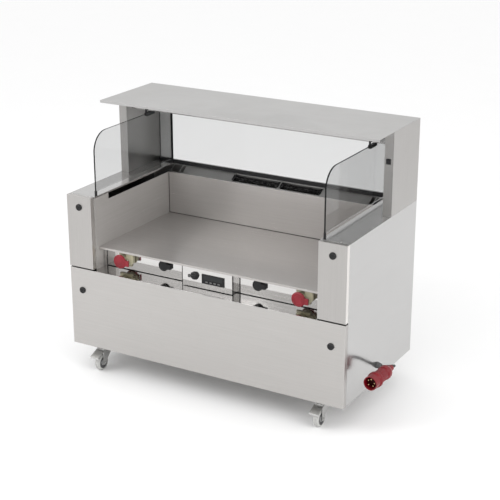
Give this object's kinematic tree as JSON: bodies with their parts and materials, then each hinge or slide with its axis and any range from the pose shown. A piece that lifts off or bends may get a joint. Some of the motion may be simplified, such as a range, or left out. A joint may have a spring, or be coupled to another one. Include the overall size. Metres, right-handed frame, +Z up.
{
  "type": "mobile cooking and serving station",
  "caption": "Wheeled stainless serving counter with a recessed niche for table-top cookers, edge extraction slots, glass breath guard, narrow canopy and power sockets.",
  "frame": {"origin": "on the floor, at the centre of the footprint, which runs from the brake pedals' front edge to the rear panel", "axes": "+Z up, +X to the right seen from the operator's side with the sockets and knob, +Y from that side to the rear glass"},
  "size_m": [1.6365, 0.772, 1.31],
  "materials": {
    "brushed_sheet": "fine satin grain",
    "polished_sheet": "bright, nearly mirror finish",
    "clear_glass": "clear with polished edges",
    "black_plastic": "fine matt",
    "display_screen": "dark gloss foil",
    "red_plastic": "satin red",
    "olive_plastic": "satin khaki grey",
    "cable_rubber": "matt sheath",
    "grey_plastic": "light grey",
    "filter_steel": "satin",
    "caster_steel": "zinc plated",
    "wheel_tread": "grey non-marking tread with a darker disc"
  },
  "bodies": {
    "cabinet": {"base_tray": "brushed_sheet", "rear_panel": "brushed_sheet", "side_panel_left": "brushed_sheet", "side_panel_right": "brushed_sheet", "niche_wall_left": "polished_sheet", "niche_wall_right": "polished_sheet", "niche_floor": "polished_sheet", "niche_rear_wall": "polished_sheet", "rear_ledge": "brushed_sheet", "ledge_plate": "polished_sheet", "socket_panel_left": "polished_sheet", "socket_panel_right": "polished_sheet", "control_box": "polished_sheet", "display_panel": "display_screen", "cee_socket_left": "olive_plastic", "cee_socket_right": "olive_plastic", "outlet_left": "black_plastic", "outlet_right": "black_plastic", "column_left": "brushed_sheet", "column_right": "brushed_sheet", "header_rail": "polished_sheet", "canopy": "brushed_sheet", "rear_glass": "clear_glass", "rear_glass_rail": "black_plastic", "side_glass_left": "clear_glass", "side_glass_right": "clear_glass", "glass_foot_front_left": "black_plastic", "glass_foot_front_right": "black_plastic", "glass_foot_rear_left": "black_plastic", "glass_foot_rear_right": "black_plastic", "glass_clamp_left": "black_plastic", "glass_clamp_right": "black_plastic", "cable_gland": "grey_plastic", "supply_cable": "cable_rubber", "supply_plug": "red_plastic"},
    "front_panel": {"front_panel": "brushed_sheet"},
    "lock_lower_left": {"lock_lower_left": "black_plastic"},
    "pillar_cover_left": {"pillar_cover_left": "brushed_sheet"},
    "lock_upper_left": {"lock_upper_left": "black_plastic"},
    "filter_left": {"filter_left": "filter_steel"},
    "cee_lid_left": {"cee_lid_left": "red_plastic"},
    "outlet_lid_left": {"outlet_lid_left": "black_plastic"},
    "lock_lower_right": {"lock_lower_right": "black_plastic"},
    "pillar_cover_right": {"pillar_cover_right": "brushed_sheet"},
    "lock_upper_right": {"lock_upper_right": "black_plastic"},
    "filter_right": {"filter_right": "filter_steel"},
    "cee_lid_right": {"cee_lid_right": "red_plastic"},
    "outlet_lid_right": {"outlet_lid_right": "black_plastic"},
    "rotary_knob": {"rotary_knob": "black_plastic"},
    "rocker_switch": {"rocker_switch": "black_plastic"},
    "caster_front_left": {"caster_fork_front_left": "caster_steel"},
    "wheel_front_left": {"caster_wheel_front_left": "wheel_tread"},
    "caster_front_right": {"caster_fork_front_right": "caster_steel"},
    "wheel_front_right": {"caster_wheel_front_right": "wheel_tread"},
    "caster_rear_left": {"caster_fork_rear_left": "caster_steel"},
    "wheel_rear_left": {"caster_wheel_rear_left": "wheel_tread"},
    "caster_rear_right": {"caster_fork_rear_right": "caster_steel"},
    "wheel_rear_right": {"caster_wheel_rear_right": "wheel_tread"},
    "brake_left": {"brake_pedal_front_left": "caster_steel"},
    "brake_right": {"brake_pedal_front_right": "caster_steel"}
  },
  "joints": [
    {"name": "front_panel_tilt", "type": "hinge", "parent": "cabinet", "child": "front_panel", "pos_m": [0, -0.364, 0.134], "axis": [1, 0, 0], "range_deg": [0, 80]},
    {"name": "lock_lower_left_turn", "type": "hinge", "parent": "front_panel", "child": "lock_lower_left", "pos_m": [-0.68, -0.364, 0.426], "axis": [0, 1, 0], "range_deg": [0, 90]},
    {"name": "lock_lower_right_turn", "type": "hinge", "parent": "front_panel", "child": "lock_lower_right", "pos_m": [0.68, -0.364, 0.426], "axis": [0, 1, 0], "range_deg": [0, 90]},
    {"name": "pillar_cover_left_tilt", "type": "hinge", "parent": "cabinet", "child": "pillar_cover_left", "pos_m": [-0.68, -0.364, 0.545], "axis": [1, 0, 0], "range_deg": [0, 70]},
    {"name": "lock_upper_left_turn", "type": "hinge", "parent": "pillar_cover_left", "child": "lock_upper_left", "pos_m": [-0.68, -0.364, 0.853], "axis": [0, 1, 0], "range_deg": [0, 90]},
    {"name": "pillar_cover_right_tilt", "type": "hinge", "parent": "cabinet", "child": "pillar_cover_right", "pos_m": [0.68, -0.364, 0.545], "axis": [1, 0, 0], "range_deg": [0, 70]},
    {"name": "lock_upper_right_turn", "type": "hinge", "parent": "pillar_cover_right", "child": "lock_upper_right", "pos_m": [0.68, -0.364, 0.853], "axis": [0, 1, 0], "range_deg": [0, 90]},
    {"name": "filter_left_lift", "type": "slide", "parent": "cabinet", "child": "filter_left", "axis": [0, -0.5226, 0.8526], "range_m": [0, 0.09]},
    {"name": "filter_right_lift", "type": "slide", "parent": "cabinet", "child": "filter_right", "axis": [0, -0.5226, 0.8526], "range_m": [0, 0.09]},
    {"name": "cee_lid_left_hinge", "type": "hinge", "parent": "cabinet", "child": "cee_lid_left", "pos_m": [-0.445, -0.306, 0.593], "axis": [0, 0, 1], "range_deg": [0, 100], "stiffness_Nm_per_rad": 0.06},
    {"name": "outlet_lid_left_hinge", "type": "hinge", "parent": "cabinet", "child": "outlet_lid_left", "pos_m": [-0.229, -0.27, 0.599], "axis": [0, 0, 1], "range_deg": [0, 100], "stiffness_Nm_per_rad": 0.03},
    {"name": "cee_lid_right_hinge", "type": "hinge", "parent": "cabinet", "child": "cee_lid_right", "pos_m": [0.531, -0.306, 0.593], "axis": [0, 0, 1], "range_deg": [0, 100], "stiffness_Nm_per_rad": 0.06},
    {"name": "outlet_lid_right_hinge", "type": "hinge", "parent": "cabinet", "child": "outlet_lid_right", "pos_m": [0.289, -0.27, 0.599], "axis": [0, 0, 1], "range_deg": [0, 100], "stiffness_Nm_per_rad": 0.03},
    {"name": "knob_turn", "type": "hinge", "parent": "cabinet", "child": "rotary_knob", "pos_m": [-0.066, -0.299, 0.598], "axis": [0, 1, 0], "range_deg": [0, 270]},
    {"name": "rocker_tilt", "type": "hinge", "parent": "cabinet", "child": "rocker_switch", "pos_m": [0.7255, 0.095, 1.168], "axis": [1, 0, 0], "range_deg": [-7, 7]},
    {"name": "caster_front_left_swivel", "type": "hinge", "parent": "cabinet", "child": "caster_front_left", "pos_m": [-0.612, -0.292, 0.134], "axis": [0, 0, 1], "continuous": true},
    {"name": "caster_front_left_roll", "type": "hinge", "parent": "caster_front_left", "child": "wheel_front_left", "pos_m": [-0.612, -0.327, 0.04], "axis": [1, 0, 0], "continuous": true},
    {"name": "brake_left_press", "type": "hinge", "parent": "caster_front_left", "child": "brake_left", "pos_m": [-0.612, -0.324, 0.1075], "axis": [1, 0, 0], "range_deg": [0, 12]},
    {"name": "caster_front_right_swivel", "type": "hinge", "parent": "cabinet", "child": "caster_front_right", "pos_m": [0.612, -0.292, 0.134], "axis": [0, 0, 1], "continuous": true},
    {"name": "caster_front_right_roll", "type": "hinge", "parent": "caster_front_right", "child": "wheel_front_right", "pos_m": [0.612, -0.327, 0.04], "axis": [1, 0, 0], "continuous": true},
    {"name": "brake_right_press", "type": "hinge", "parent": "caster_front_right", "child": "brake_right", "pos_m": [0.612, -0.324, 0.1075], "axis": [1, 0, 0], "range_deg": [0, 12]},
    {"name": "caster_rear_left_swivel", "type": "hinge", "parent": "cabinet", "child": "caster_rear_left", "pos_m": [-0.612, 0.314, 0.134], "axis": [0, 0, 1], "continuous": true},
    {"name": "caster_rear_left_roll", "type": "hinge", "parent": "caster_rear_left", "child": "wheel_rear_left", "pos_m": [-0.612, 0.279, 0.04], "axis": [1, 0, 0], "continuous": true},
    {"name": "caster_rear_right_swivel", "type": "hinge", "parent": "cabinet", "child": "caster_rear_right", "pos_m": [0.612, 0.314, 0.134], "axis": [0, 0, 1], "continuous": true},
    {"name": "caster_rear_right_roll", "type": "hinge", "parent": "caster_rear_right", "child": "wheel_rear_right", "pos_m": [0.612, 0.279, 0.04], "axis": [1, 0, 0], "continuous": true}
  ]
}
